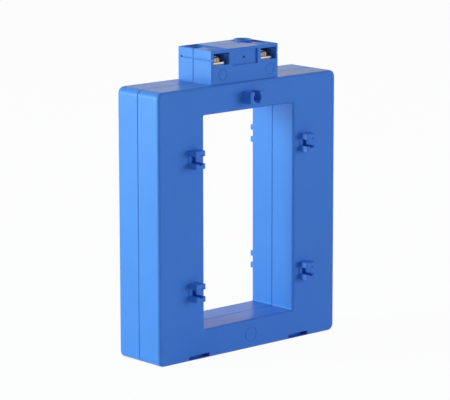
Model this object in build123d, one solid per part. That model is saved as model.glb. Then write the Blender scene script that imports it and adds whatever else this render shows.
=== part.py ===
"""Window current transformer for a flat busbar, in millimetres.

The base centre is the origin, X runs along the front, Y to the rear and Z up.
The two moulded shells part on the plane Y = 0.
"""
from build123d import *
import os

os.makedirs("parts", exist_ok=True)

# Housing
body_width = 139.0
body_height = 160.0
body_depth = 36.6
wall = 2.2
outer_corner = 4.0
outer_edge = 1.9

# Bars of the frame round the busbar window
side_bar = 34.5
bottom_bar = 17.5
top_bar = 16.5
window_corner = 1.0
window_edge = 1.6

# Joint between the shells
seam_width = 0.5
seam_depth = 0.3
tongue_thickness = 0.9
tongue_height = 1.2
tongue_clearance = 0.12
peg_diameter = 4.0
peg_reach = 4.0
peg_boss = 7.4
peg_clearance = 0.12
peg_margin = 0.5

# Terminal tower
tower_width = 52.2
tower_height = 20.0
tower_front_step = 2.3
tower_rear_step = 4.9
tower_x = -1.3
tower_wall = 2.2
tower_roof = 2.0
tower_edge = 0.7
partition = 1.8
chamber_floor = 2.0

# Wire entries and screw wells in the tower
entry_width = 12.1
entry_height = 7.0
entry_side_wall = 1.65
well_diameter = 9.0
well_chamfer = 0.6
funnel_diameter = 10.4
funnel_depth = 0.7
funnel_hole = 4.4
end_recess_depth = 0.8
end_recess_rim = 0.9
end_recess_gap = 0.3

# Latch grooves, plain field, seal hole and engraved rings
latch_drop = 5.6
latch_height = 1.0
latch_depth = 0.8
latch_rear_gap = 2.4
field_side_gap = 2.55
field_height = 8.5
field_depth = 1.1
field_drop = 5.9
seal_hole = 1.4
ring_line = 0.4
ring_depth = 0.2
tower_ring = 6.9
tower_ring_shift = 1.0
body_ring = 9.0
body_ring_x = 1.0
body_ring_height = 8.8

# Nut clips round the window, for the screws that hold the busbar
clip_length = 10.6
clip_width = 7.0
clip_reach = 7.0
clip_edge = 0.4
clip_floor = 0.5
clip_channel = 4.2
clip_nut_width = 5.8
clip_nut_slot = 3.1
clip_nut_wall = 0.8
side_clip_gap = 5.2
side_clip_rise = 39.0
top_clip_gap = 4.0

# Slots for clip-on feet
foot_slot_x = 39.4
foot_slot_width = 15.6
foot_slot_height = 2.4
foot_slot_lip = 0.8
foot_slot_depth = 4.6
foot_slot_wall = 1.4

# Strip-wound core
core_wall_gap = 1.05
core_inner_corner = 4.0

# Ribs that carry the core and the bobbins
rib = 2.0
cradle_x = 28.0
shelf_width = 8.0
seat_gap = 0.15

# Bobbins and windings
bobbin_end_gap = 7.0
bobbin_tube = 1.2
bobbin_flange = 1.6
bobbin_side_gap = 0.3
bobbin_corner = 2.0
core_slip = 0.3
winding_build = 3.8
tape_thickness = 0.3
tape_end_gap = 1.5
tape_wall_gap = 0.5

# Leads
lead_diameter = 2.0
lead_sides = 8
lead_bend = 5.0
lead_core_gap = 1.4
lead_inset = 7.3
lead_notch = 3.2

# Terminal bars
bar_side_gap = 0.2
bar_thickness = 2.5
bar_drop = 0.2
bar_end_gap = 0.2
tab_width = 4.0
tab_reach = 3.4
tab_clearance = 0.2

# Terminal screws and their clamp plates
thread_diameter = 4.0
thread_clearance = 0.05
tip_clearance = 0.6
screw_length = 7.5
screw_point = 0.4
head_diameter = 8.0
head_height = 3.4
head_edge = 0.7
drive_slot = 1.1
drive_cross = 4.6
drive_depth = 1.3
plate_side_gap = 0.65
plate_end_gap = 0.3
plate_length = 8.4
plate_thickness = 1.4
plate_corner = 0.8
plate_bore_clearance = 0.1
plate_gap = 0.2
head_gap = 0.1

# Seal plug in the right rear screw well
plug_clearance = 0.05
plug_lap = 1.1
plug_proud = 0.8
plug_skirt = 1.4
plug_rim = 1.0
plug_dish_depth = 1.0
plug_wall = 1.05
plug_web = 0.8
plug_seat_gap = 0.05

# Places and sizes that follow from those above
half_depth = body_depth / 2
inner_face = half_depth - wall
inner_corner = outer_corner - wall
window_width = body_width - 2 * side_bar
window_sill = bottom_bar
window_top = body_height - top_bar
window_mid = (window_sill + window_top) / 2
limb_x = (body_width - side_bar) / 2
bottom_bar_z = bottom_bar / 2
top_bar_z = body_height - top_bar / 2
core_build = top_bar - 2 * wall - 2 * core_wall_gap
core_cover = core_slip + bobbin_tube + winding_build + tape_thickness + tape_wall_gap
core_depth = 2 * (inner_face - core_cover)
tower_front = half_depth - tower_front_step
tower_rear = half_depth - tower_rear_step
tower_top = body_height + tower_height
roof_z = tower_top - tower_roof
recess_floor = tower_top - end_recess_depth
entry_sill = roof_z - entry_height
bar_width = entry_width - 2 * bar_side_gap
bar_top = entry_sill - bar_drop
bar_bottom = bar_top - bar_thickness
chamber_front = -tower_front + tower_wall
chamber_rear = tower_rear - tower_wall
plate_width = entry_width - 2 * plate_side_gap
front_screw_y = chamber_front + plate_end_gap + plate_length / 2
rear_screw_y = chamber_rear - plate_end_gap - plate_length / 2
terminal_offset = tower_width / 2 - entry_side_wall - entry_width / 2
left_terminal_x = tower_x - terminal_offset
right_terminal_x = tower_x + terminal_offset
duct_half = terminal_offset - entry_width / 2 - partition
field_width = 2 * (terminal_offset - entry_width / 2 - field_side_gap)
plug_flange = well_diameter + 2 * plug_lap
lead_y = core_depth / 2 + lead_core_gap + lead_diameter / 2
lead_x = limb_x - lead_inset
bobbin_bottom = window_sill + bobbin_end_gap
bobbin_top = window_top - bobbin_end_gap
winding_bottom = bobbin_bottom + bobbin_flange
winding_top = bobbin_top - bobbin_flange
tube_width = core_build + 2 * core_slip + 2 * bobbin_tube
tube_depth = core_depth + 2 * core_slip + 2 * bobbin_tube


def span_box(x, y, z):
    """Box between two values on each axis."""
    size = [abs(pair[1] - pair[0]) for pair in (x, y, z)]
    centre = [(pair[0] + pair[1]) / 2 for pair in (x, y, z)]
    return Pos(*centre) * Box(*size)


def around(centre, width):
    """Two values, half a width to each side of a centre."""
    return (centre - width / 2, centre + width / 2)


def upright(x, y, diameter, bottom, top):
    """Cylinder along Z between two heights."""
    return Pos(x, y, (bottom + top) / 2) * Cylinder(diameter / 2, top - bottom)


def level(x, z, diameter, front, rear):
    """Cylinder along Y between two depths."""
    return Pos(x, (front + rear) / 2, z) * Rot(90, 0, 0) * Cylinder(diameter / 2, rear - front)


def rectangle(centre_x, width, bottom, top, corner=0):
    """Rectangle in the parting plane, with rounded corners if a radius is given."""
    shape = RectangleRounded(width, top - bottom, corner) if corner else Rectangle(width, top - bottom)
    return Plane.XZ * Pos(centre_x, (bottom + top) / 2) * shape


def frame_outline(inset, corner):
    """Frame with its window, with every side moved into the wall by an inset."""
    outside = rectangle(0, body_width - 2 * inset, inset, body_height - inset, corner)
    window = rectangle(
        0, window_width + 2 * inset, window_sill - inset, window_top + inset, window_corner + inset
    )
    return outside - window


def both_sides(solids):
    """Solids of the front, and the same solids mirrored to the rear."""
    return list(solids) + [mirror(solid, about=Plane.XZ) for solid in solids]


def frame_block():
    """Frame of the housing, with the edges of both faces rounded."""
    block = extrude(frame_outline(0, outer_corner), amount=half_depth, both=True)
    for index in (0, -1):
        face = block.faces().sort_by(Axis.Y)[index]
        block = fillet(face.outer_wire().edges(), outer_edge)
        face = block.faces().sort_by(Axis.Y)[index]
        block = fillet(face.inner_wires()[0].edges(), window_edge)
    return block


def tower_block():
    """Terminal tower, with its upright and top edges rounded."""
    block = span_box(
        around(tower_x, tower_width), (-tower_front, tower_rear), (body_height - wall, tower_top)
    )
    base = block.faces().sort_by(Axis.Z)[0].edges()
    return fillet(block.edges() - base, tower_edge)


def clip_places():
    """Centre and turn of each nut clip: one above the window and four beside it.

    The channel of a clip points at the window, along X beside it and along Z above it.
    """
    side = window_width / 2 + side_clip_gap + clip_width / 2
    above = window_top + top_clip_gap + clip_width / 2
    places = [Pos(0, 0, above) * Rot(0, 90, 0)]
    for sign_x in (-1, 1):
        for sign_z in (-1, 1):
            places.append(Pos(sign_x * side, 0, window_mid + sign_z * side_clip_rise))
    return places


def nut_clips():
    """Clips on the front face, each a block with a channel for the shank of a screw."""
    face = -half_depth
    block = Pos(0, face - clip_reach / 2, 0) * Box(clip_width, clip_reach, clip_length)
    block = chamfer(block.faces().sort_by(Axis.Y)[0].edges(), clip_edge)
    block += span_box(around(0, clip_width), (face, face + wall / 2), around(0, clip_length))
    depth = (face - 2 * clip_reach, face - clip_floor)
    block -= span_box(around(0, 2 * clip_width), depth, around(0, clip_channel))
    return [place * block for place in clip_places()]


def nut_slots():
    """Slots for the nuts of the screws, across the channels and into the front wall."""
    depth = (-half_depth - 2 * clip_reach, -half_depth + wall - clip_nut_wall)
    slot = span_box(around(0, clip_nut_slot), depth, around(0, clip_nut_width))
    return [place * slot for place in clip_places()]


def cradle_ribs():
    """Ribs across both bars, with the section of the core and a notch for a lead cut out."""
    ribs = []
    bars = (
        (bottom_bar_z, wall / 2, window_sill - wall / 2),
        (top_bar_z, window_top + wall / 2, body_height - wall / 2),
    )
    for bar_z, low, high in bars:
        for sign in (-1, 1):
            x = around(sign * cradle_x, rib)
            plate = span_box(x, (-inner_face - wall / 2, 0), (low, high))
            core_room = span_box(
                x, (-core_depth / 2 - seat_gap, 0), around(bar_z, core_build + 2 * seat_gap)
            )
            lead_room = span_box(x, around(-lead_y, lead_notch), around(bar_z, lead_notch))
            ribs.append(plate - core_room - lead_room)
    return ribs


def bobbin_shelves():
    """Short ribs on the front wall, below and above each bobbin."""
    reach = (-inner_face - wall / 2, -core_depth / 2 - lead_core_gap)
    shelves = []
    for sign in (-1, 1):
        x = around(sign * limb_x, shelf_width)
        below = bobbin_bottom - seat_gap
        above = bobbin_top + seat_gap
        shelves.append(span_box(x, reach, (below - rib, below)))
        shelves.append(span_box(x, reach, (above, above + rib)))
    return shelves


def foot_pockets():
    """Walls round the foot slots, inside the bottom bar."""
    pockets = []
    for sign in (-1, 1):
        x = around(sign * foot_slot_x, foot_slot_width + 2 * foot_slot_wall)
        back = -half_depth + foot_slot_depth + foot_slot_wall
        top = foot_slot_lip + foot_slot_height + foot_slot_wall
        pockets.append(span_box(x, (-inner_face - wall / 2, back), (wall / 2, top)))
    return pockets


def foot_slots():
    """Slots at the foot of the front face."""
    slots = []
    for sign in (-1, 1):
        x = around(sign * foot_slot_x, foot_slot_width)
        y = (-half_depth - wall, -half_depth + foot_slot_depth)
        slots.append(span_box(x, y, (foot_slot_lip, foot_slot_lip + foot_slot_height)))
    return slots


def peg_places():
    """Centres of the four locating pegs, in the corners of the frame."""
    inset = wall + peg_margin + peg_boss / 2
    side = body_width / 2 - inset
    return [(sign * side, z) for sign in (-1, 1) for z in (inset, body_height - inset)]


def peg_bosses():
    """Round posts from the front wall to the parting plane."""
    return [level(x, z, peg_boss, -inner_face - wall / 2, 0) for x, z in peg_places()]


def tower_hollows():
    """Terminal chambers, the wire entries, the lead duct and the space below the chambers."""
    depth = (chamber_front, chamber_rear)
    below = body_height - wall
    cuts = [span_box(around(tower_x, 2 * duct_half), depth, (below, roof_z))]
    for x, sign in ((left_terminal_x, 1), (right_terminal_x, -1)):
        room = around(x, entry_width)
        through = (-tower_front - tower_wall, tower_rear + tower_wall)
        cuts.append(span_box(room, depth, (bar_bottom, roof_z)))
        cuts.append(span_box(room, through, (entry_sill, roof_z)))
        cuts.append(span_box(room, depth, (below, bar_bottom - chamber_floor)))
        tab_side = (x, x + sign * (entry_width / 2 + partition + tab_clearance))
        tab_depth = (chamber_front, chamber_front + tab_width + 2 * tab_clearance)
        cuts.append(span_box(tab_side, tab_depth, (bar_bottom, bar_top + tab_clearance)))
        for y in (front_screw_y, rear_screw_y):
            tip_hole = thread_diameter + 2 * tip_clearance
            cuts.append(upright(x, y, tip_hole, bar_bottom - 2 * chamber_floor, bar_top))
    return cuts


def tower_top_cuts():
    """End recesses, rear screw wells and front screwdriver funnels."""
    open_mouth = Cone(well_diameter / 2, well_diameter / 2 + well_chamfer, well_chamfer)
    cuts = [Pos(left_terminal_x, rear_screw_y, recess_floor - well_chamfer / 2) * open_mouth]
    for x, sign in ((left_terminal_x, -1), (right_terminal_x, 1)):
        outer = tower_x + sign * (tower_width / 2 - end_recess_rim)
        inner = x - sign * (plug_flange / 2 + end_recess_gap)
        depth = (-tower_front + end_recess_rim, tower_rear - end_recess_rim)
        cuts.append(span_box((inner, outer), depth, (recess_floor, tower_top + tower_roof)))
        cuts.append(upright(x, rear_screw_y, well_diameter, roof_z - tower_roof, tower_top))
        funnel = Pos(x, front_screw_y, recess_floor - funnel_depth / 2) * Cone(
            funnel_hole / 2, funnel_diameter / 2, funnel_depth
        )
        cuts += [funnel, upright(x, front_screw_y, funnel_hole, roof_z - tower_roof, tower_top)]
    return cuts


def latch_grooves():
    """Grooves in the sides of the tower, open to the front, where a cover can snap on."""
    z = around(tower_top - latch_drop, latch_height)
    depth = (-tower_front - wall, tower_rear - latch_rear_gap)
    grooves = []
    for sign in (-1, 1):
        side = tower_x + sign * tower_width / 2
        grooves.append(span_box((side - sign * latch_depth, side + sign * wall), depth, z))
    return grooves


def engraved_ring(x, z, diameter, face_y):
    """Thin round groove in a front face."""
    disc = level(x, z, diameter, face_y - ring_depth, face_y + ring_depth)
    return disc - level(x, z, diameter - 2 * ring_line, face_y - wall, face_y + wall)


def front_marks():
    """Plain field with its seal hole on the tower, and the rings of the terminals and the front."""
    field_z = tower_top - field_drop
    ring_z = (body_height + entry_sill) / 2
    marks = [
        span_box(
            around(tower_x, field_width),
            (-tower_front - wall, -tower_front + field_depth),
            around(field_z, field_height),
        ),
        level(tower_x, field_z, seal_hole, -tower_front - wall, chamber_front + wall),
        engraved_ring(body_ring_x, body_ring_height, body_ring, -half_depth),
    ]
    for x in (left_terminal_x, right_terminal_x):
        marks.append(engraved_ring(x + tower_ring_shift, ring_z, tower_ring, -tower_front))
    return marks


def seam_groove():
    """Fine groove round the outside and round the window, where the shells meet."""
    kept = frame_outline(seam_depth, outer_corner - seam_depth)
    kept += rectangle(tower_x, tower_width - 2 * seam_depth, window_top, tower_top - seam_depth)
    kept -= rectangle(
        0,
        window_width + 2 * seam_depth,
        window_sill - seam_depth,
        window_top + seam_depth,
        window_corner + seam_depth,
    )
    plate = rectangle(0, 2 * body_width, -body_height, 2 * body_height)
    return extrude(plate - kept, amount=seam_width / 2, both=True)


def housing():
    """Both shells in one, before they are parted."""
    outside = frame_block() + tower_block()
    hollow = outside - extrude(frame_outline(wall, inner_corner), amount=inner_face, both=True)
    inside = both_sides(cradle_ribs() + bobbin_shelves() + peg_bosses()) + foot_pockets()
    hollow = hollow + inside + both_sides(nut_clips())
    cuts = tower_hollows() + tower_top_cuts() + latch_grooves() + front_marks() + foot_slots()
    return hollow - cuts - both_sides(nut_slots()) - seam_groove()


def tongue(outward, height):
    """Lip along the inner half of the wall, round the frame and round the window."""
    inset = wall - tongue_thickness - outward
    ring = frame_outline(inset, inner_corner + tongue_thickness + outward)
    return extrude(ring - frame_outline(wall, inner_corner), amount=-height)


def front_shell(whole):
    """Front half, with the tongue and the locating pegs."""
    half = split(whole, bisect_by=Plane.XZ, keep=Keep.TOP)
    lip = tongue(0, tongue_height) - tower_hollows()
    pegs = [level(x, z, peg_diameter, -peg_reach, peg_reach) for x, z in peg_places()]
    return half + lip + pegs


def rear_shell(whole):
    """Rear half, with the rebate for the tongue and the sockets for the pegs."""
    half = split(whole, bisect_by=Plane.XZ, keep=Keep.BOTTOM)
    rebate = tongue(tongue_clearance, tongue_height + tongue_clearance)
    bore = peg_diameter + 2 * peg_clearance
    sockets = [level(x, z, bore, -peg_reach, peg_reach + peg_clearance) for x, z in peg_places()]
    return half - rebate - sockets


def core():
    """Strip-wound rectangular core, one closed loop through all four sides of the frame."""
    width = 2 * limb_x + core_build
    low = bottom_bar_z - core_build / 2
    high = top_bar_z + core_build / 2
    outer = rectangle(0, width, low, high, core_inner_corner + core_build)
    inner = rectangle(
        0, width - 2 * core_build, low + core_build, high - core_build, core_inner_corner
    )
    return extrude(outer - inner, amount=core_depth / 2, both=True)


def upright_prism(x, width, depth, corner, bottom, top):
    """Upright block with rounded corners, centred on the middle of the depth."""
    shape = Plane.XY.offset(bottom) * Pos(x, 0) * RectangleRounded(width, depth, corner)
    return extrude(shape, amount=top - bottom)


def bobbin(x):
    """Coil former on one limb of the core: a tube with a flange at each end."""
    flange_width = side_bar - 2 * wall - 2 * bobbin_side_gap
    flange_depth = 2 * inner_face - 2 * bobbin_side_gap
    solid = upright_prism(x, tube_width, tube_depth, bobbin_corner, bobbin_bottom, bobbin_top)
    for low, high in ((bobbin_bottom, winding_bottom), (winding_top, bobbin_top)):
        solid += upright_prism(x, flange_width, flange_depth, bobbin_corner, low, high)
    bore = span_box(
        around(x, core_build + 2 * core_slip),
        around(0, core_depth + 2 * core_slip),
        (bobbin_bottom - wall, bobbin_top + wall),
    )
    sign = 1 if x > 0 else -1
    notches = [
        upright(sign * lead_x, -lead_y, lead_notch, winding_top, bobbin_top + wall),
        upright(sign * lead_x, lead_y, lead_notch, bobbin_bottom - wall, winding_bottom),
    ]
    return solid - bore - notches


def sleeve(x, inner_offset, thickness, bottom, top):
    """Wrap of even thickness round a bobbin tube, at some distance from it."""
    grow = 2 * inner_offset
    inner_radius = bobbin_corner + inner_offset
    outer_radius = inner_radius + thickness
    outer = upright_prism(
        x,
        tube_width + grow + 2 * thickness,
        tube_depth + grow + 2 * thickness,
        outer_radius,
        bottom,
        top,
    )
    return outer - upright_prism(
        x, tube_width + grow, tube_depth + grow, inner_radius, bottom, top
    )


def winding(x):
    """Secondary winding on one bobbin."""
    return sleeve(x, 0, winding_build, winding_bottom, winding_top)


def winding_tape(x):
    """Tape round one winding, a little shorter than it."""
    return sleeve(
        x, winding_build, tape_thickness, winding_bottom + tape_end_gap, winding_top - tape_end_gap
    )


def wire(points):
    """Insulated wire along straight runs with equal bends, with a many-sided section."""
    path = FilletPolyline(*points, radius=lead_bend)
    section = Plane(origin=path @ 0, z_dir=path % 0) * RegularPolygon(lead_diameter / 2, lead_sides)
    return sweep(section, path=path)


def lead(terminal_x, sign):
    """Lead from the top of one winding to the tab of its terminal bar."""
    tab_x = terminal_x - sign * (entry_width / 2 + partition + tab_clearance + tab_reach / 2)
    return wire(
        [
            (sign * lead_x, -lead_y, winding_top),
            (sign * lead_x, -lead_y, top_bar_z),
            (tab_x, -lead_y, top_bar_z),
            (tab_x, -lead_y, bar_bottom),
        ]
    )


def winding_link():
    """Wire that joins the two windings in series, along the bottom bar."""
    return wire(
        [
            (-lead_x, lead_y, winding_bottom),
            (-lead_x, lead_y, bottom_bar_z),
            (lead_x, lead_y, bottom_bar_z),
            (lead_x, lead_y, winding_bottom),
        ]
    )


def terminal_bar(x, sign):
    """Terminal bar with two threaded holes and a tab that reaches into the lead duct."""
    depth = (chamber_front + bar_end_gap, chamber_rear - bar_end_gap)
    bar = span_box(around(x, bar_width), depth, (bar_bottom, bar_top))
    tab_end = x - sign * (entry_width / 2 + partition + tab_clearance + tab_reach)
    tab_start = chamber_front + tab_clearance
    bar += span_box((x, tab_end), (tab_start, tab_start + tab_width), (bar_bottom, bar_top))
    bore = thread_diameter + 2 * thread_clearance
    for y in (front_screw_y, rear_screw_y):
        bar -= upright(x, y, bore, bar_bottom - wall, bar_top + wall)
    return bar


def clamp_plate(x, y):
    """Loose square plate under a screw head, which presses the wire on the bar."""
    low = bar_top + plate_gap
    shape = Plane.XY.offset(low) * Pos(x, y) * RectangleRounded(plate_width, plate_length, plate_corner)
    plate = extrude(shape, amount=plate_thickness)
    bore = thread_diameter + 2 * plate_bore_clearance
    return plate - upright(x, y, bore, low - wall, low + plate_thickness + wall)


def terminal_screw(x, y):
    """Pan head screw with a slot and a cross, in a threaded hole of the bar."""
    seat = bar_top + plate_gap + plate_thickness + head_gap
    top = seat + head_height
    head = upright(x, y, head_diameter, seat, top)
    head = chamfer(head.edges().sort_by(Axis.Z)[-1], head_edge)
    shank = upright(x, y, thread_diameter, seat - screw_length, seat)
    shank = chamfer(shank.edges().sort_by(Axis.Z)[0], screw_point)
    drive = (top - drive_depth, top + drive_depth)
    slot = span_box(around(x, 2 * head_diameter), around(y, drive_slot), drive)
    cross = span_box(around(x, drive_slot), around(y, drive_cross), drive)
    return head + shank - slot - cross


def seal_plug(x, y):
    """Dished plug in a screw well, with a flange that seats in the end recess."""
    seat = recess_floor + plug_seat_gap
    top = tower_top + plug_proud
    skirt = well_diameter - 2 * plug_clearance
    dish = plug_flange - 2 * plug_rim
    plug = upright(x, y, skirt, recess_floor - plug_skirt, top)
    plug += upright(x, y, plug_flange, seat, top)
    plug -= upright(x, y, dish, top - plug_dish_depth, top + wall)
    web_bottom = top - plug_dish_depth - plug_web
    return plug - upright(x, y, skirt - 2 * plug_wall, recess_floor - 2 * plug_skirt, web_bottom)


def save(name, solid):
    """Write one piece to its own file."""
    export_step(solid, f"parts/{name}.step")


whole = housing()
save("front_shell", front_shell(whole))
save("rear_shell", rear_shell(whole))
save("core", core())
save("winding_link", winding_link())
for side, sign, terminal_x in (("left", -1, left_terminal_x), ("right", 1, right_terminal_x)):
    save(f"{side}_bobbin", bobbin(sign * limb_x))
    save(f"{side}_winding", winding(sign * limb_x))
    save(f"{side}_winding_tape", winding_tape(sign * limb_x))
    save(f"{side}_lead", lead(terminal_x, sign))
    save(f"{side}_terminal_bar", terminal_bar(terminal_x, sign))
    for place, screw_y in (("front", front_screw_y), ("rear", rear_screw_y)):
        save(f"{place}_{side}_clamp_plate", clamp_plate(terminal_x, screw_y))
        save(f"{place}_{side}_screw", terminal_screw(terminal_x, screw_y))
save("seal_plug", seal_plug(right_terminal_x, rear_screw_y))
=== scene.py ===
# %% [markdown]
# # A current transformer for a busbar
# The object is a flat blue housing with a tall window for a busbar. A small tower on top holds
# the terminals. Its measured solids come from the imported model, and they fix every size and
# place here. This lesson gives them their surfaces, and it builds the small round pieces anew,
# because spun and swept shapes catch the light better than the plain solids do.

# %% Load the measured model
import bpy
import bmesh
import math
from mathutils import Matrix, Vector


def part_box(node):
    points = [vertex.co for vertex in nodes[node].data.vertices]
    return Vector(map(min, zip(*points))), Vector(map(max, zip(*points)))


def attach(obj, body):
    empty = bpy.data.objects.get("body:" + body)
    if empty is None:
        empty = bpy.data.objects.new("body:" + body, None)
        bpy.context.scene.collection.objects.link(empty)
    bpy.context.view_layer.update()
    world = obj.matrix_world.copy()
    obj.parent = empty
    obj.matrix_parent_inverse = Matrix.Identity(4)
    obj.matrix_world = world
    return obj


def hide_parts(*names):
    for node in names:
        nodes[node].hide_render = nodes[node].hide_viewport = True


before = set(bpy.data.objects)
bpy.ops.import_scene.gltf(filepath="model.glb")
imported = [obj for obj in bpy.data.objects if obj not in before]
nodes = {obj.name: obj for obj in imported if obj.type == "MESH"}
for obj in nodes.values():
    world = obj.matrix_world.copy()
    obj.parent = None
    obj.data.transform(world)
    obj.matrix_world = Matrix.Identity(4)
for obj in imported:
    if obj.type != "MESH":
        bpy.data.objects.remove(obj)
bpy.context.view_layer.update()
MM = 0.001
SIDES = ("left", "right")


# %% [markdown]
# ## A start for every finish
# A moulded or plated surface is never one flat colour. Its colour drifts a little, its gloss
# changes from place to place, and it has a fine grain. All finishes here start from the same
# few nodes: a shader, the object's own coordinates and a noise. The coordinates are in metres,
# so a scale of 1000 gives a pattern about a millimetre across.

# %% Start a finish
def new_finish(name, roughness, metallic=0.0):
    """A material with one shader, with its constant values set on the shader itself."""
    finish = bpy.data.materials.new(name)
    finish.use_nodes = True
    shader = finish.node_tree.nodes["Principled BSDF"]
    shader.inputs["Roughness"].default_value = roughness
    shader.inputs["Metallic"].default_value = metallic
    place = finish.node_tree.nodes.new("ShaderNodeTexCoord")
    return finish, finish.node_tree, shader, place.outputs["Object"]


def grain(tree, place, scale, detail=3.0, stretch=(1.0, 1.0, 1.0)):
    """A noise that sits still on the object; a stretch below 1 pulls it out along an axis."""
    mapping = tree.nodes.new("ShaderNodeMapping")
    mapping.inputs["Scale"].default_value = stretch
    noise = tree.nodes.new("ShaderNodeTexNoise")
    noise.inputs["Scale"].default_value = scale
    noise.inputs["Detail"].default_value = detail
    tree.links.new(place, mapping.inputs["Vector"])
    tree.links.new(mapping.outputs["Vector"], noise.inputs["Vector"])
    return noise.outputs["Fac"]


print("ready: new_finish, grain")


# %% [markdown]
# ## From a noise to a gloss and a colour
# A noise gives one number at each point, mostly between 0.3 and 0.7. One helper spreads it to a
# gloss, and one to a colour between two tones. Both work on the node's own number, so nothing
# has to be painted or unwrapped.

# %% Turn a noise into a gloss or a colour
NOISE_LOW = 0.3
NOISE_HIGH = 0.7


def between(tree, value, low, high):
    """The noise, spread to run from low to high."""
    spread = tree.nodes.new("ShaderNodeMapRange")
    ends = {"From Min": NOISE_LOW, "From Max": NOISE_HIGH, "To Min": low, "To Max": high}
    for socket, number in ends.items():
        spread.inputs[socket].default_value = number
    tree.links.new(value, spread.inputs["Value"])
    return spread.outputs["Result"]


def two_tones(tree, value, first, second, start=NOISE_LOW, end=NOISE_HIGH):
    """A colour that drifts from the first tone to the second with the value."""
    ramp = tree.nodes.new("ShaderNodeValToRGB")
    ramp.color_ramp.elements[0].position = start
    ramp.color_ramp.elements[1].position = end
    ramp.color_ramp.elements[0].color = (*first, 1.0)
    ramp.color_ramp.elements[1].color = (*second, 1.0)
    tree.links.new(value, ramp.inputs["Fac"])
    return ramp.outputs["Color"]


print("the noise is used from", NOISE_LOW, "to", NOISE_HIGH)


# %% [markdown]
# ## Relief and edges
# A fine grain is far too small to model. A bump gives the light its slopes without moving the
# surface. Sharp edges are shaded as if they were slightly round, as every moulded or stamped
# edge is. Real rounds on so many small edges would cost far more faces.

# %% Shade a relief and soft edges
def relief(tree, shader, height, distance, strength, under=None):
    """Light and shade from a height; under is the normal that lies below it."""
    bump = tree.nodes.new("ShaderNodeBump")
    bump.inputs["Distance"].default_value = distance
    bump.inputs["Strength"].default_value = strength
    tree.links.new(height, bump.inputs["Height"])
    if under is not None:
        tree.links.new(under, bump.inputs["Normal"])
    tree.links.new(bump.outputs["Normal"], shader.inputs["Normal"])
    return bump.outputs["Normal"]


def eased_edges(tree, radius):
    """The normal of a surface whose sharp edges have a small radius."""
    bevel = tree.nodes.new("ShaderNodeBevel")
    bevel.samples = 8
    bevel.inputs["Radius"].default_value = radius
    return bevel.outputs["Normal"]


print("ready: relief, eased_edges")


# %% [markdown]
# ## The blue housing plastic
# The shells are moulded in a tough self-coloured plastic with a satin gloss. One flat blue
# would look dead, so the colour drifts by a few percent over centimetres, the gloss is patchy,
# and a very fine grain breaks up the highlights. The specular level is low, because the real
# surface mirrors little.

# %% The housing's finish
HOUSING_BLUE = (0.066, 0.252, 0.735)
HOUSING_BLUE_DEEP = (0.060, 0.238, 0.705)


def housing_plastic(name, light, deep):
    """Moulded plastic with a slow drift of colour, patches of gloss and a fine skin."""
    finish, tree, shader, place = new_finish(name, roughness=0.32)
    drift = grain(tree, place, scale=22.0)
    tree.links.new(two_tones(tree, drift, deep, light), shader.inputs["Base Color"])
    patches = grain(tree, place, scale=45.0, detail=2.0)
    tree.links.new(between(tree, patches, low=0.29, high=0.35), shader.inputs["Roughness"])
    skin = grain(tree, place, scale=2600.0, detail=2.0)
    edges = eased_edges(tree, radius=0.3 * MM)
    relief(tree, shader, skin, distance=0.03 * MM, strength=0.25, under=edges)
    shader.inputs["IOR"].default_value = 1.5
    shader.inputs["Specular IOR Level"].default_value = 0.21
    return finish


housing_blue = housing_plastic("housing_blue", HOUSING_BLUE, HOUSING_BLUE_DEEP)
print("finish", housing_blue.name)


# %% [markdown]
# ## The metals of the terminals
# Bars, plates and screws are plated brass and steel. The plating is warm and not mirror-like,
# because the parts are stamped and tumbled. Streaks along the direction of drawing or rolling
# change both the tone and the gloss, which says metal better than an even grain would.

# %% Plated finishes
def plated_metal(name, tone, dark_tone, roughness, along):
    """Metal with streaks along one axis; the light streaks are the glossy ones."""
    finish, tree, shader, place = new_finish(name, roughness, metallic=1.0)
    stretch = [0.08 if axis == along else 1.0 for axis in "xyz"]
    streaks = grain(tree, place, scale=1500.0, detail=4.0, stretch=stretch)
    tree.links.new(two_tones(tree, streaks, dark_tone, tone), shader.inputs["Base Color"])
    gloss = between(tree, streaks, low=roughness + 0.1, high=roughness - 0.06)
    tree.links.new(gloss, shader.inputs["Roughness"])
    edges = eased_edges(tree, radius=0.15 * MM)
    relief(tree, shader, streaks, distance=0.03 * MM, strength=0.4, under=edges)
    return finish


bar_nickel = plated_metal(
    "bar_nickel", tone=(0.58, 0.48, 0.37), dark_tone=(0.40, 0.31, 0.22), roughness=0.38, along="y"
)
plate_zinc = plated_metal(
    "plate_zinc", tone=(0.90, 0.87, 0.83), dark_tone=(0.50, 0.45, 0.39), roughness=0.22, along="x"
)
screw_nickel = plated_metal(
    "screw_nickel", tone=(0.56, 0.48, 0.38), dark_tone=(0.16, 0.12, 0.08), roughness=0.16, along="z"
)
print("finishes", bar_nickel.name, plate_zinc.name, screw_nickel.name)


# %% [markdown]
# ## The steel core
# The core is one long strip of magnetic steel, wound on a rectangular former, so its front and
# rear faces show the edges of hundreds of turns. Modelling each turn would cost far too many
# faces. Instead the shader works out in which turn a point lies, round corners included, and a
# one-dimensional noise of that number draws the turns.

# %% Find the turn of a point
CORE_OUTER_RADIUS = 14.0 * MM


def vector_step(tree, operation, first, second=None):
    """One vector operation on a socket, with a fixed vector where it needs two."""
    step = tree.nodes.new("ShaderNodeVectorMath")
    step.operation = operation
    tree.links.new(first, step.inputs[0])
    if second is not None:
        step.inputs[1].default_value = second
    return step.outputs


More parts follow.
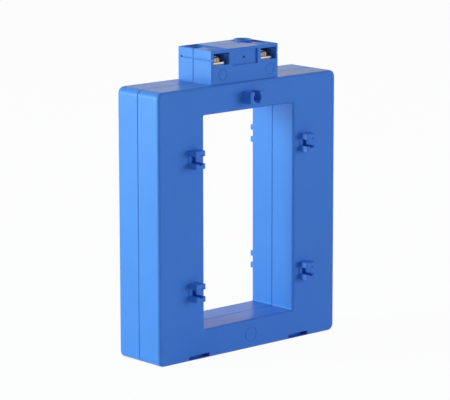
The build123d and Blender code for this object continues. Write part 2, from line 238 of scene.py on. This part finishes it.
def reach_of_turn(tree, place, low, high, radius):
    """How far the turn through a point lies outside the centres of the corners, in metres."""
    middle = (low + high) / 2
    half = (high - low) / 2
    centred = vector_step(tree, "SUBTRACT", place, (middle.x, 0.0, middle.z))["Vector"]
    flat = vector_step(tree, "MULTIPLY", centred, (1.0, 0.0, 1.0))["Vector"]
    folded = vector_step(tree, "ABSOLUTE", flat)["Vector"]
    straight = (half.x - radius, 0.0, half.z - radius)
    past = vector_step(tree, "SUBTRACT", folded, straight)["Vector"]
    corner = vector_step(tree, "MAXIMUM", past, (0.0, 0.0, 0.0))["Vector"]
    return vector_step(tree, "LENGTH", corner)["Value"]


core_low, core_high = (Vector(corner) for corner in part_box("core"))
print("core", [round(side / MM, 1) for side in core_high - core_low], "mm")


# %% [markdown]
# ## Draw the turns of the core
# The edges of the turns differ a little in tone and stand a little proud of each other, so the
# same noise gives the tone and the relief. Its scale is one over the thickness of a turn.

# %% The core's finish
TURN_THICKNESS = 0.3 * MM


def wound_steel(name, low, high, radius):
    """Steel whose tone changes from turn to turn of a wound loop."""
    finish, tree, shader, place = new_finish(name, roughness=0.42, metallic=1.0)
    noise = tree.nodes.new("ShaderNodeTexNoise")
    noise.noise_dimensions = "1D"
    noise.inputs["Scale"].default_value = 1.0 / TURN_THICKNESS
    noise.inputs["Detail"].default_value = 1.0
    tree.links.new(reach_of_turn(tree, place, low, high, radius), noise.inputs["W"])
    turns = noise.outputs["Fac"]
    tone = two_tones(tree, turns, (0.24, 0.25, 0.27), (0.52, 0.53, 0.55))
    tree.links.new(tone, shader.inputs["Base Color"])
    relief(tree, shader, turns, distance=0.06 * MM, strength=0.6)
    return finish


core_steel = wound_steel("core_steel", core_low, core_high, CORE_OUTER_RADIUS)
print("finish", core_steel.name)


# %% [markdown]
# ## The bobbins' plastic
# The bobbins sit inside the closed housing, on the limbs of the core. They are moulded in pale
# glass-filled plastic, which shows a fibrous grain along the flow of the melt. A noise that is
# pulled out along the height gives that grain, and it changes tone, gloss and relief together.

# %% The bobbins' finish
def moulded_fibre(name, light, deep):
    """Matt plastic with a fibrous grain along its height."""
    finish, tree, shader, place = new_finish(name, roughness=0.55)
    fibres = grain(tree, place, scale=900.0, detail=5.0, stretch=(1.0, 1.0, 0.2))
    tree.links.new(two_tones(tree, fibres, deep, light), shader.inputs["Base Color"])
    tree.links.new(between(tree, fibres, low=0.48, high=0.64), shader.inputs["Roughness"])
    edges = eased_edges(tree, radius=0.2 * MM)
    relief(tree, shader, fibres, distance=0.04 * MM, strength=0.5, under=edges)
    return finish


bobbin_ivory = moulded_fibre("bobbin_ivory", (0.80, 0.79, 0.73), (0.69, 0.67, 0.60))
print("finish", bobbin_ivory.name)


# %% [markdown]
# ## The tape round the windings
# The tape is glossy yellow polyester. It is wound up the coil with an overlap, so a faint step
# repeats at every lap. A saw wave up the height gives the steps and their dark edges, and a
# noise adds the small wrinkles of a tape that was pulled tight.

# %% The tape's finish
TAPE_LAP = 9.5 * MM
DARK_EDGE = 0.12
SCALE_FOR_ONE_METRE = math.pi / 10.0  # the wave texture's scale at which one wave is 1 m long


def spiral_tape(name, light, deep):
    """Glossy tape with a step and a dark edge at every lap, and small wrinkles."""
    finish, tree, shader, place = new_finish(name, roughness=0.28)
    wave = tree.nodes.new("ShaderNodeTexWave")
    wave.wave_type = "BANDS"
    wave.bands_direction = "Z"
    wave.wave_profile = "SAW"
    wave.inputs["Scale"].default_value = SCALE_FOR_ONE_METRE / TAPE_LAP
    wave.inputs["Distortion"].default_value = 0.15
    tree.links.new(place, wave.inputs["Vector"])
    laps = wave.outputs["Fac"]
    tone = two_tones(tree, laps, deep, light, start=0.0, end=DARK_EDGE)
    tree.links.new(tone, shader.inputs["Base Color"])
    wrinkles = grain(tree, place, scale=220.0, detail=4.0)
    tree.links.new(between(tree, wrinkles, low=0.2, high=0.4), shader.inputs["Roughness"])
    step = relief(tree, shader, laps, distance=0.06 * MM, strength=0.5)
    relief(tree, shader, wrinkles, distance=0.1 * MM, strength=0.3, under=step)
    return finish


tape_yellow = spiral_tape("tape_yellow", (0.80, 0.56, 0.10), (0.55, 0.34, 0.05))
print("finish", tape_yellow.name)


# %% [markdown]
# ## Wire, insulation and solder
# The winding wire has a clear reddish enamel over copper, so it is a metal under a glossy coat.
# The leads have a soft matt insulation with a slight bloom. The solder on the bars is a pale
# metal, made with the same helper as the plated parts.

# %% Finishes of the wires
def enamelled_copper(name):
    """Copper whose tone drifts, under a thin glossy coat."""
    finish, tree, shader, place = new_finish(name, roughness=0.3, metallic=1.0)
    drift = grain(tree, place, scale=130.0, detail=4.0)
    tone = two_tones(tree, drift, (0.42, 0.13, 0.045), (0.62, 0.25, 0.09))
    tree.links.new(tone, shader.inputs["Base Color"])
    tree.links.new(between(tree, drift, low=0.24, high=0.38), shader.inputs["Roughness"])
    shader.inputs["Coat Weight"].default_value = 0.7
    shader.inputs["Coat Roughness"].default_value = 0.12
    return finish


def soft_insulation(name, light, deep):
    """Matt insulation with a bloom and a fine grain."""
    finish, tree, shader, place = new_finish(name, roughness=0.5)
    bloom = grain(tree, place, scale=260.0, detail=5.0)
    tree.links.new(two_tones(tree, bloom, deep, light), shader.inputs["Base Color"])
    tree.links.new(between(tree, bloom, low=0.42, high=0.6), shader.inputs["Roughness"])
    fine = grain(tree, place, scale=1800.0, detail=3.0)
    relief(tree, shader, fine, distance=0.03 * MM, strength=0.4)
    return finish


wire_copper = enamelled_copper("wire_copper")
insulation_beige = soft_insulation("insulation_beige", (0.56, 0.51, 0.44), (0.45, 0.41, 0.35))
solder_tin = plated_metal(
    "solder_tin", tone=(0.80, 0.80, 0.79), dark_tone=(0.62, 0.62, 0.62), roughness=0.3, along="z"
)
print("finishes", wire_copper.name, insulation_beige.name, solder_tin.name)


# %% [markdown]
# ## Materials on the measured solids
# The shells, core, bobbins, tapes, bars and plates already have their right shape. They keep
# their measured meshes and only get their finish, which the last word of their name chooses.
# The solids that are replaced further on get a finish in the same loop.

# %% Dress the solids
finish_by_ending = {
    "shell": housing_blue, "plug": housing_blue, "core": core_steel, "bobbin": bobbin_ivory,
    "winding": wire_copper, "tape": tape_yellow, "lead": insulation_beige,
    "link": insulation_beige, "bar": bar_nickel, "plate": plate_zinc, "screw": screw_nickel,
}
for name, solid in nodes.items():
    solid.data.materials.clear()
    solid.data.materials.append(finish_by_ending[name.split("_")[-1]])
print("dressed", len(nodes))


# %% [markdown]
# ## How a new piece joins the model
# A new piece is a mesh with its place in its points, so that its object can stay at the origin.
# It gets one finish, it rides on a measured body, and it may stand for a measured solid, which
# then is hidden. It is shaded smooth, except across sharp edges.

# %% Add a piece
def add_piece(name, work, finish, body, sharp_above, stands_for=None):
    """Turns a bmesh into an object that moves with a body; the angle is in degrees."""
    bmesh.ops.recalc_face_normals(work, faces=work.faces)
    mesh = bpy.data.meshes.new(name)
    work.to_mesh(mesh)
    work.free()
    for polygon in mesh.polygons:
        polygon.use_smooth = True
    mesh.set_sharp_from_angle(angle=math.radians(sharp_above))
    mesh.materials.append(finish)
    piece = bpy.data.objects.new(name, mesh)
    bpy.context.scene.collection.objects.link(piece)
    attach(piece, body)
    if stands_for:
        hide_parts(stands_for)
    return piece


# %% [markdown]
# ## Turned shapes
# A plug or a screw is round, so half of its section, spun once about its axis, gives the whole
# piece with an even mesh. The corners of the section are bevelled before the spin, while they are
# only points, which rounds every edge of the finished piece at once.

# %% Spin a section
SAME_POINT = 0.001 * MM


def turned(section, centre, edge, steps):
    """A closed piece from points of (radius, height) that start and end on the axis."""
    work = bmesh.new()
    points = [work.verts.new((radius, 0.0, height)) for radius, height in section]
    for first, second in zip(points, points[1:]):
        work.edges.new((first, second))
    bmesh.ops.bevel(
        work, geom=points[1:-1], offset=edge, segments=3, profile=0.5, affect="VERTICES",
        material=-1
    )
    bmesh.ops.spin(
        work, geom=work.verts[:] + work.edges[:], cent=(0.0, 0.0, 0.0), axis=(0.0, 0.0, 1.0),
        angle=math.tau, steps=steps, use_merge=True, dvec=(0.0, 0.0, 0.0)
    )
    bmesh.ops.remove_doubles(work, verts=work.verts, dist=SAME_POINT)
    bmesh.ops.translate(work, verts=work.verts, vec=centre)
    return work


print("points within", SAME_POINT / MM, "mm are merged")


# %% [markdown]
# ## The seal plug
# The plug closes the right rear screw well. It is a shallow dish with a rolled rim and a hollow
# skirt that snaps into the well. Its seat and skirt follow the measured solid, and its rim is
# rounder.

# %% Turn the seal plug
RIM_HEIGHT = 1.55 * MM
RIM_WIDTH = 1.0 * MM
RIM_SLOPE = 0.6 * MM
RIM_OVERHANG = 1.15 * MM
DISH_DEPTH = 1.0 * MM
DISH_THICKNESS = 0.8 * MM
SKIRT_WALL = 1.05 * MM
PLUG_EDGE = 0.22 * MM

plug_low, plug_high = (Vector(corner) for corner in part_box("seal_plug"))
plug_axis = ((plug_low.x + plug_high.x) / 2, (plug_low.y + plug_high.y) / 2, 0.0)
rim_radius = (plug_high.x - plug_low.x) / 2
rim_inside = rim_radius - RIM_WIDTH
skirt_radius = rim_radius - RIM_OVERHANG
skirt_inside = skirt_radius - SKIRT_WALL
seat = plug_high.z - RIM_HEIGHT
dish_floor = plug_high.z - DISH_DEPTH
web_floor = dish_floor - DISH_THICKNESS
plug_section = [
    (0.0, dish_floor), (rim_inside - RIM_SLOPE, dish_floor), (rim_inside, plug_high.z),
    (rim_radius, plug_high.z), (rim_radius, seat), (skirt_radius, seat),
    (skirt_radius, plug_low.z), (skirt_inside, plug_low.z), (skirt_inside, web_floor),
    (0.0, web_floor),
]
plug = add_piece(
    "seal_plug_cap", turned(plug_section, plug_axis, PLUG_EDGE, steps=48), housing_blue,
    "seal_plug", sharp_above=40.0, stands_for="seal_plug"
)
print("seal plug faces", len(plug.data.polygons))


# %% [markdown]
# ## The drive of a terminal screw
# Each screw has a slot and a cross in its head, so either screwdriver fits. A boolean would leave
# ragged triangles in the domed top. Here the top is cut along the walls of the slot and the
# cross, the faces between them are lifted off as a separate patch, and that patch is pressed
# down to one flat floor.

# %% Press the drive into a head
SLOT_WIDTH = 1.1 * MM
CROSS_LENGTH = 4.6 * MM
DRIVE_DEPTH = 1.3 * MM
ON_THE_CUT = 0.0001 * MM
FACES_UP = 0.01


def cut_along(work, place, direction):
    """Splits the faces of a mesh along a plane."""
    geometry = work.verts[:] + work.edges[:] + work.faces[:]
    bmesh.ops.bisect_plane(
        work, geom=geometry, dist=ON_THE_CUT, plane_co=place, plane_no=direction
    )


def press_drive(work, centre, top):
    """Presses a slot across the head and a shorter cross into its top."""
    half = SLOT_WIDTH / 2
    for sign in (-1, 1):
        cut_along(work, (centre[0] + sign * half, centre[1], 0.0), (1.0, 0.0, 0.0))
        cut_along(work, (centre[0], centre[1] + sign * half, 0.0), (0.0, 1.0, 0.0))
        cut_along(work, (centre[0], centre[1] + sign * CROSS_LENGTH / 2, 0.0), (0.0, 1.0, 0.0))
    floor = top - DRIVE_DEPTH
    patch = []
    for face in work.faces:
        spot = face.calc_center_median()
        across, along = abs(spot.x - centre[0]), abs(spot.y - centre[1])
        in_slot = along < half
        in_cross = across < half and along < CROSS_LENGTH / 2
        if (in_slot or in_cross) and face.normal.z > FACES_UP and spot.z > floor:
            patch.append(face)
    lifted = bmesh.ops.extrude_face_region(work, geom=patch)["geom"]
    for vert in (item for item in lifted if isinstance(item, bmesh.types.BMVert)):
        vert.co.z = min(vert.co.z, floor)
    bmesh.ops.delete(work, geom=patch, context="FACES")
    bmesh.ops.remove_doubles(work, verts=work.verts, dist=SAME_POINT)
    bmesh.ops.dissolve_degenerate(work, dist=SAME_POINT, edges=work.edges)


print("drive", SLOT_WIDTH / MM, "mm wide and", DRIVE_DEPTH / MM, "mm deep")


# %% [markdown]
# ## The thread
# The terminal screws have an M4 thread, which shows below a raised clamp plate. A picture of a
# thread in the shading would stay flat at its outline. A small triangle that is spun and raised
# at the same time gives the real ridge. Its foot lies inside the shank, so no gap shows between
# them.

# %% Wind the thread
THREAD_PITCH = 0.7 * MM
THREAD_RADIUS = 1.98 * MM
THREAD_ROOT = 1.6 * MM
RIDGE_FOOT = THREAD_ROOT - 0.1 * MM
RIDGE_WIDTH = 0.6 * MM
STEPS_A_TURN = 20


def thread_ridge(centre, bottom, turns):
    """A triangular ridge that climbs round the axis."""
    work = bmesh.new()
    corners = [(RIDGE_FOOT, 0.0), (THREAD_RADIUS, RIDGE_WIDTH / 2), (RIDGE_FOOT, RIDGE_WIDTH)]
    points = [work.verts.new((radius, 0.0, bottom + height)) for radius, height in corners]
    start = work.faces.new(points)
    bmesh.ops.spin(
        work, geom=[start], cent=(0.0, 0.0, 0.0), axis=(0.0, 0.0, 1.0),
        angle=math.tau * turns, steps=STEPS_A_TURN * turns, use_merge=False,
        dvec=(0.0, 0.0, THREAD_PITCH / STEPS_A_TURN)
    )
    bmesh.ops.translate(work, verts=work.verts, vec=centre)
    bmesh.ops.recalc_face_normals(work, faces=work.faces)
    return work


print("thread", 2 * THREAD_RADIUS / MM, "mm, pitch", THREAD_PITCH / MM, "mm")


# %% [markdown]
# ## The terminal screws
# A screw is its spun head and shank, the drive pressed into the head, and the ridge of the
# thread. The head is a low dome, given as how far each point lies inside the rim and below the
# top. Every screw takes its place and its width from its measured solid.

# %% Build the four screws
HEAD_HEIGHT = 3.4 * MM
HEAD_DOME = [(1.3 * MM, 0.1 * MM), (0.5 * MM, 0.5 * MM), (0.0, 1.5 * MM)]
HEAD_EDGE = 0.18 * MM
TIP = 0.5 * MM
THREAD_TURNS = 8


def pan_head_screw(name):
    """A screw in the place of the measured one, with its drive and thread."""
    low, high = (Vector(corner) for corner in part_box(name))
    centre = ((low.x + high.x) / 2, (low.y + high.y) / 2, 0.0)
    rim = (high.x - low.x) / 2
    neck = high.z - HEAD_HEIGHT
    section = [(0.0, high.z)]
    section += [(rim - inset, high.z - drop) for inset, drop in HEAD_DOME]
    section += [(rim, neck), (THREAD_ROOT, neck)]
    section += [(THREAD_ROOT, low.z + TIP), (THREAD_ROOT - TIP, low.z), (0.0, low.z)]
    work = turned(section, centre, HEAD_EDGE, steps=48)
    bmesh.ops.recalc_face_normals(work, faces=work.faces)
    press_drive(work, centre, high.z)
    thread = thread_ridge(centre, low.z + TIP, THREAD_TURNS)
    ridge = bpy.data.meshes.new("thread")
    thread.to_mesh(ridge)
    thread.free()
    work.from_mesh(ridge)
    bpy.data.meshes.remove(ridge)
    return add_piece(
        name + "_pan_head", work, screw_nickel, name, sharp_above=35.0,
        stands_for=name
    )


screws = [pan_head_screw(name) for name in nodes if name.endswith("_screw")]
print("screws", [(screw.name, len(screw.data.polygons)) for screw in screws])


# %% [markdown]
# ## A bent path
# Leads and windings are stiff wire, bent to straight runs with equal bends. A spline would bulge
# along the runs. The path is worked out from its corners instead, with an arc that touches both
# runs at each of them.

# %% Bend a path
def bent_path(corners, radius, steps, closed=False):
    """Points along straight runs, with an arc at every right-angled corner between them."""
    spots = [Vector(corner) for corner in corners]
    path = []
    for index, spot in enumerate(spots):
        if not closed and index in (0, len(spots) - 1):
            path.append(spot)
            continue
        before = (spots[index - 1] - spot).normalized()
        after = (spots[(index + 1) % len(spots)] - spot).normalized()
        middle = spot + (before + after) * radius
        for step in range(steps + 1):
            angle = math.pi / 2 * step / steps
            outwards = after * math.cos(angle) + before * math.sin(angle)
            path.append(middle - outwards * radius)
    return path


print("ready: bent_path")


# %% [markdown]
# ## Round wire
# A curve with a round section follows such a path exactly, with even faces all along it. It is
# turned into a mesh at once, so that its place is in its points.

# %% Draw a wire
WIRE_ROUNDNESS = 2


def drawn_wire(path, thickness, closed=False):
    """A bmesh of round wire along a path."""
    curve = bpy.data.curves.new("wire", "CURVE")
    curve.dimensions = "3D"
    curve.bevel_depth = thickness / 2
    curve.bevel_resolution = WIRE_ROUNDNESS
    curve.use_fill_caps = not closed
    run = curve.splines.new("POLY")
    run.points.add(len(path) - 1)
    for point, spot in zip(run.points, path):
        point.co = (*spot, 1.0)
    run.use_cyclic_u = closed
    holder = bpy.data.objects.new("wire", curve)
    mesh = bpy.data.meshes.new_from_object(holder)
    work = bmesh.new()
    work.from_mesh(mesh)
    bmesh.ops.remove_doubles(work, verts=work.verts, dist=SAME_POINT)
    bpy.data.meshes.remove(mesh)
    bpy.data.objects.remove(holder)
    bpy.data.curves.remove(curve)
    return work


print("a wire has", 2 * (WIRE_ROUNDNESS + 2), "sides")


# %% [markdown]
# ## The solder
# Each lead ends in a small cone of solder under the tab of its bar. Solder creeps up the wire
# and spreads at the tab, so the cone is wide at its top and thin at its foot. It is spun like the
# plug, from how wide it is and how far below the end of the wire.

# %% Shape a cone of solder
SOLDER_CONE = [
    (0.0, 0.0), (1.7 * MM, 0.0), (1.25 * MM, 0.6 * MM), (1.06 * MM, 2.2 * MM), (0.0, 2.3 * MM),
]
SOLDER_EDGE = 0.12 * MM


def solder_cone(side, end):
    """The solder at the upper end of one lead."""
    section = [(radius, end[2] - drop) for radius, drop in SOLDER_CONE]
    return add_piece(
        side + "_lead_solder", turned(section, (end[0], end[1], 0.0), SOLDER_EDGE, steps=24),
        solder_tin, "housing", sharp_above=60.0
    )


print("solder cone", SOLDER_CONE[-1][1] / MM, "mm tall")


# %% [markdown]
# ## The leads
# A lead leaves the top of each winding, runs along the top bar of the core and climbs to the tab
# of its terminal bar. It follows the middle line of its measured solid, and its bends are the
# round bends of a real wire.

# %% Lay the leads
LEAD_THICKNESS = 2.0 * MM
LEAD_BEND = 5.0 * MM
BEND_STEPS = 8
lead_half = LEAD_THICKNESS / 2
top_bar_level = core_high.z - 5.0 * MM


def lead_wire(side):
    """The lead of one side, and the point of its upper end."""
    low, high = (Vector(corner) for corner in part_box(side + "_lead"))
    outer, inner = low.x + lead_half, high.x - lead_half
    if side == "right":
        outer, inner = inner, outer
    depth = (low.y + high.y) / 2
    corners = [
        (outer, depth, low.z), (outer, depth, top_bar_level), (inner, depth, top_bar_level),
        (inner, depth, high.z),
    ]
    wire = add_piece(
        side + "_lead_wire",
        drawn_wire(bent_path(corners, LEAD_BEND, BEND_STEPS), LEAD_THICKNESS),
        insulation_beige, "housing", sharp_above=50.0,
        stands_for=side + "_lead"
    )
    return wire, corners[-1]


for side in SIDES:
    wire, end = lead_wire(side)
    solder = solder_cone(side, end)
    print(wire.name, "and", solder.name)


# %% [markdown]
# ## The link
# A third wire joins the two windings at the bottom, so that they work in series. It is the same
# wire as the leads, with the same bends.

# %% Lay the link
link_low, link_high = (Vector(corner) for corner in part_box("winding_link"))
link_depth = (link_low.y + link_high.y) / 2
link_level = link_low.z + lead_half
link_left = link_low.x + lead_half
link_right = link_high.x - lead_half
link_corners = [
    (link_left, link_depth, link_high.z), (link_left, link_depth, link_level),
    (link_right, link_depth, link_level), (link_right, link_depth, link_high.z),
]
link = add_piece(
    "winding_link_wire",
    drawn_wire(bent_path(link_corners, LEAD_BEND, BEND_STEPS), LEAD_THICKNESS),
    insulation_beige, "housing", sharp_above=50.0, stands_for="winding_link"
)
print("link", [round(side / MM, 1) for side in link.dimensions], "mm")


# %% [markdown]
# ## The windings
# The secondary is enamelled wire in many layers, and only its outer layer can ever be seen. A
# helix could be swept as one long tube, but it would need thousands of points. Each winding here
# is one turn of round wire that an Array repeats up the bobbin.

# %% Wind the outer layer
WIRE_PITCH = 1.2 * MM
COIL_CORNER = 5.8 * MM
TURN_STEPS = 4


def turn_path(side, depth):
    """One turn at a depth below a winding's surface, and the winding's lower and upper end."""
    low, high = (Vector(corner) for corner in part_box(side + "_winding"))
    left, right = low.x + depth, high.x - depth
    front, rear = low.y + depth, high.y - depth
    corners = [(left, front, 0.0), (right, front, 0.0), (right, rear, 0.0), (left, rear, 0.0)]
    return bent_path(corners, COIL_CORNER - depth, TURN_STEPS, closed=True), low.z, high.z


def wound_coil(side):
    """The outer layer of one winding, turn by turn."""
    path, bottom, top = turn_path(side, WIRE_PITCH / 2)
    turn = drawn_wire(path, WIRE_PITCH, closed=True)
    bmesh.ops.translate(turn, verts=turn.verts, vec=(0.0, 0.0, bottom + WIRE_PITCH / 2))
    coil = add_piece(
        side + "_coil_turns", turn, wire_copper, "housing", sharp_above=80.0,
        stands_for=side + "_winding"
    )
    stack = coil.modifiers.new("stack", "ARRAY")
    stack.count = round((top - bottom) / WIRE_PITCH)
    stack.use_relative_offset = False
    stack.use_constant_offset = True
    rise = (top - bottom - WIRE_PITCH) / (stack.count - 1)
    stack.constant_offset_displace = (0.0, 0.0, rise)
    return coil


coils = [wound_coil(side) for side in SIDES]
print("coils", [(coil.name, coil.modifiers[0].count) for coil in coils])


# %% [markdown]
# ## The layers underneath
# Between two turns of the outer layer the next one shows. It would be the same wire again, at
# twice the faces. A plain sleeve in the same copper stands for all the layers underneath, and it
# closes the gaps between the turns.

# %% Fill in the layers underneath
SLEEVE_WALL = 1.0 * MM
SLEEVE_DEPTH = WIRE_PITCH * 0.6


def inner_layers(side):
    """A closed sleeve, from just inside the middle of the outer wire inwards."""
    path, bottom, top = turn_path(side, SLEEVE_DEPTH)
    work = bmesh.new()
    ring = [work.verts.new((spot.x, spot.y, bottom)) for spot in path]
    rim = [work.edges.new((ring[index - 1], ring[index])) for index in range(len(ring))]
    raised = bmesh.ops.extrude_edge_only(work, edges=rim)["geom"]
    lifted = [item for item in raised if isinstance(item, bmesh.types.BMVert)]
    bmesh.ops.translate(work, verts=lifted, vec=(0.0, 0.0, top - bottom))
    bmesh.ops.recalc_face_normals(work, faces=work.faces)
    bmesh.ops.solidify(work, geom=work.faces[:], thickness=SLEEVE_WALL)
    return add_piece(
        side + "_coil_inner_layers", work, wire_copper, "housing",
        sharp_above=40.0
    )


for side in SIDES:
    sleeve = inner_layers(side)
    print(sleeve.name, [round(length / MM, 1) for length in sleeve.dimensions], "mm")


# %% [markdown]
# ## A white background
# The photograph is a cut-out on white. More light would bleach the blue, so the white comes from
# the rays instead: a ray that shows the background, straight, mirrored or through glass, meets
# white. All other rays meet a pale floor or a dim room, and light the object as usual.

# %% Tell the rays apart
def shows_background(tree):
    """1 for camera, glossy and transmission rays, and 0 for the others."""
    ray = tree.nodes.new("ShaderNodeLightPath").outputs
    shown = ray["Is Camera Ray"]
    for kind in ("Is Glossy Ray", "Is Transmission Ray"):
        either = tree.nodes.new("ShaderNodeMath")
        either.operation = "MAXIMUM"
        tree.links.new(shown, either.inputs[0])
        tree.links.new(ray[kind], either.inputs[1])
        shown = either.outputs["Value"]
    return shown


print("ready: shows_background")


# %% [markdown]
# ## The floor
# The object stands on a plain pale sheet. Where it shows as the background it is white by
# itself, but not quite, so that it keeps a faint shadow of the object. It lies a hair below the
# underside, because two faces in one place would flicker.

# %% Lay the floor
FLOOR_TONE = (0.93, 0.93, 0.94, 1.0)
FLOOR_HALF = 6.0
FLOOR_DROP = 0.2 * MM
FLOOR_WHITE = 0.96


def white_backdrop():
    """Almost white where it shows as the background, and a pale matt sheet otherwise."""
    finish, tree, shader, _ = new_finish("floor_white", roughness=0.9)
    shader.inputs["Base Color"].default_value = FLOOR_TONE
    shader.inputs["Specular IOR Level"].default_value = 0.1
    white = tree.nodes.new("ShaderNodeEmission")
    white.inputs["Strength"].default_value = 1.0
    amount = tree.nodes.new("ShaderNodeMath")
    amount.operation = "MULTIPLY"
    amount.inputs[1].default_value = FLOOR_WHITE
    mix = tree.nodes.new("ShaderNodeMixShader")
    tree.links.new(shows_background(tree), amount.inputs[0])
    tree.links.new(amount.outputs["Value"], mix.inputs["Fac"])
    tree.links.new(shader.outputs["BSDF"], mix.inputs[1])
    tree.links.new(white.outputs["Emission"], mix.inputs[2])
    tree.links.new(mix.outputs["Shader"], tree.nodes["Material Output"].inputs["Surface"])
    return finish


sheet = bmesh.new()
bmesh.ops.create_grid(sheet, x_segments=1, y_segments=1, size=FLOOR_HALF)
bmesh.ops.translate(sheet, verts=sheet.verts, vec=(0.0, 0.0, -FLOOR_DROP))
floor_mesh = bpy.data.meshes.new("floor")
sheet.to_mesh(floor_mesh)
sheet.free()
floor_mesh.materials.append(white_backdrop())
floor = bpy.data.objects.new("floor", floor_mesh)
bpy.context.scene.collection.objects.link(floor)
print("floor", floor.dimensions[:])


# %% [markdown]
# ## The room
# The room stands for the soft light that comes from everywhere in a studio. It is dim and
# slightly violet, which gives the shaded faces the tone that they have in the photograph.

# %% The world
ROOM_TONE = (0.74, 0.73, 1.0, 1.0)
ROOM_LIGHT = 0.31

world = bpy.data.worlds.new("studio")
bpy.context.scene.world = world
world.use_nodes = True
room = world.node_tree
dim = room.nodes["Background"]
dim.inputs["Color"].default_value = ROOM_TONE
dim.inputs["Strength"].default_value = ROOM_LIGHT
white = room.nodes.new("ShaderNodeBackground")
white.inputs["Color"].default_value = (1.0, 1.0, 1.0, 1.0)
white.inputs["Strength"].default_value = 1.0
choose = room.nodes.new("ShaderNodeMixShader")
room.links.new(shows_background(room), choose.inputs["Fac"])
room.links.new(dim.outputs["Background"], choose.inputs[1])
room.links.new(white.outputs["Background"], choose.inputs[2])
room.links.new(choose.outputs["Shader"], room.nodes["World Output"].inputs["Surface"])
print("room light", ROOM_LIGHT)


# %% [markdown]
# ## The lamps
# In the photograph the left faces and the right wall of the window are bright, and the front
# gets less than half their light. So the main lamp stands on the left, behind the plane of the
# front, and a wide one fills in from the front right. Their slight tints bring the faces to the
# colours of the photograph. The fill is kept out of mirrored rays, so that it leaves no bright
# patch on the gloss.

# %% Set up the lamps
OBJECT_MIDDLE = Vector((0.0, 0.0, 0.085))


def soft_lamp(name, direction, distance, size, power, colour):
    """A lamp, with a width and a height, that looks at the middle of the object."""
    lamp = bpy.data.lights.new(name, "AREA")
    lamp.shape = "RECTANGLE"
    lamp.size, lamp.size_y = size
    lamp.energy = power
    lamp.color = colour
    holder = bpy.data.objects.new(name, lamp)
    toward = Vector(direction).normalized()
    holder.location = OBJECT_MIDDLE + toward * distance
    holder.rotation_euler = toward.to_track_quat("Z", "Y").to_euler()
    bpy.context.scene.collection.objects.link(holder)
    return holder


soft_lamp(
    "main_back_left", direction=(-0.80, 0.52, 0.12), distance=1.15, size=(0.46, 0.8),
    power=18.0, colour=(0.80, 1.0, 0.89)
)
fill = soft_lamp(
    "fill_front_right", direction=(0.62, -0.86, 0.10), distance=1.8, size=(1.4, 1.0),
    power=18.3, colour=(0.78, 0.83, 0.94)
)
fill.visible_glossy = False
print("lamps", [lamp.name for lamp in bpy.data.lights])


# %% [markdown]
# ## The camera
# The photograph was taken with a long lens, a little from above and well to the left of the
# front. The camera below was fitted to the corners of the housing and its window.

# %% Place the camera
CAMERA_PLACE = (-1.00853, -1.12880, 0.38511)
CAMERA_LOOKS = (0.65267263, 0.7325916, -0.1932045)
CAMERA_ROLL = -0.088
LENS = 208.76

camera_data = bpy.data.cameras.new("camera")
camera_data.sensor_width = 36.0
camera_data.sensor_fit = "HORIZONTAL"
camera_data.lens = LENS
camera_data.clip_start = 0.01
camera_data.clip_end = 50.0
camera = bpy.data.objects.new("camera", camera_data)
bpy.context.scene.collection.objects.link(camera)
ahead = Vector(CAMERA_LOOKS).normalized()
level_right = ahead.cross(Vector((0.0, 0.0, 1.0))).normalized()
level_up = level_right.cross(ahead)
roll = math.radians(CAMERA_ROLL)
right = level_right * math.cos(roll) + level_up * math.sin(roll)
up = level_up * math.cos(roll) - level_right * math.sin(roll)
turn = Matrix((right, up, -ahead)).transposed().to_4x4()
camera.matrix_world = Matrix.Translation(CAMERA_PLACE) @ turn
bpy.context.scene.camera = camera
bpy.context.scene.view_settings.view_transform = "Standard"
print("camera", camera.location[:], "lens", camera_data.lens)
